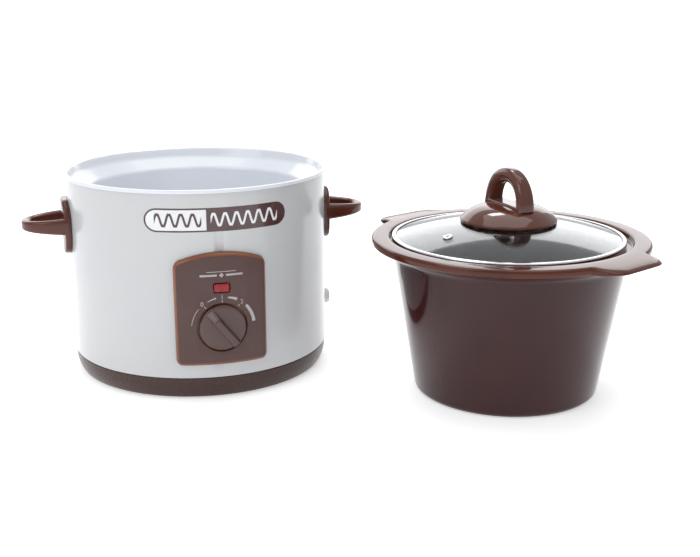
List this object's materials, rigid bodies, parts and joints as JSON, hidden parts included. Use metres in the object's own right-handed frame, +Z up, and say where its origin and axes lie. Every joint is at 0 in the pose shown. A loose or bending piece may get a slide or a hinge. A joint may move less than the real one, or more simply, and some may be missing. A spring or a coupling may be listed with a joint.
{
  "type": "slow cooker",
  "caption": "Round slow cooker unpacked: a metal heating base with rotary selector and side handles, beside its glazed stoneware crock under a domed glass lid.",
  "frame": {"origin": "middle of the whole set's footprint, on the table", "axes": "+Z up; +X along the heating base's two handles, towards the crock; the control panel faces -Y"},
  "size_m": [0.55, 0.4263, 0.206],
  "materials": {
    "shell_paint": "gloss light grey enamel paint",
    "well_enamel": "gloss bluish white",
    "brown_plastic": "glossy chocolate brown",
    "panel_plastic": "satin chocolate brown",
    "stoneware": "dark brown gloss glaze",
    "lid_glass": "clear tempered",
    "stainless": "polished",
    "zinc_steel": "zinc plated",
    "rubber": "matte black",
    "red_lens": "translucent red",
    "nylon": "off-white",
    "mica": "mica board and foil",
    "glass_fibre": "woven glass-fibre mat",
    "silicone": "translucent grey",
    "sleeve": "silicone sleeve"
  },
  "bodies": {
    "heater_base": {"base_ring": "brown_plastic", "bottom_cover": "zinc_steel", "control_panel": "panel_plastic", "cord_gland": "nylon", "earth_tag": "zinc_steel", "foot_1": "rubber", "foot_2": "rubber", "foot_3": "rubber", "foot_4": "rubber", "fuse_clip": "zinc_steel", "gland_nut": "nylon", "handle_left": "brown_plastic", "handle_left_screw_high": "zinc_steel", "handle_left_screw_low": "zinc_steel", "handle_right": "brown_plastic", "handle_right_screw_high": "zinc_steel", "handle_right_screw_low": "zinc_steel", "heater_band": "mica", "heating_well": "well_enamel", "housing_shell": "shell_paint", "indicator_lens": "red_lens", "insulation_blanket": "glass_fibre", "lamp_holder": "nylon", "lead_earth": "sleeve", "lead_feed": "sleeve", "lead_heater": "sleeve", "lead_return": "sleeve", "neon_lamp": "lid_glass", "panel_screw_left": "zinc_steel", "panel_screw_right": "zinc_steel", "selector_nut": "zinc_steel", "selector_switch": "nylon", "terminal_block": "nylon", "thermal_fuse": "zinc_steel", "tie_nut": "zinc_steel", "tie_stud": "zinc_steel", "tie_washer": "zinc_steel"},
    "selector": {"selector_knob": "panel_plastic", "selector_shaft": "zinc_steel"},
    "crock": {"crock": "stoneware"},
    "lid": {"lid_glass": "lid_glass", "lid_rim_band": "stainless", "vent_grommet": "stainless", "lid_knob": "brown_plastic", "knob_washer": "silicone", "knob_washer_under": "silicone", "knob_screw": "stainless"}
  },
  "joints": [
    {"name": "selector_turn", "type": "hinge", "parent": "heater_base", "child": "selector", "pos_m": [-0.10925, -0.041, 0.0695], "axis": [0, 1, 0], "range_deg": [0, 76]},
    {"name": "crock_lift", "type": "slide", "parent": "heater_base", "child": "crock", "axis": [0, 0, 1], "range_m": [0, 0.24]},
    {"name": "lid_lift", "type": "slide", "parent": "crock", "child": "lid", "axis": [0, 0, 1], "range_m": [0, 0.12]}
  ]
}
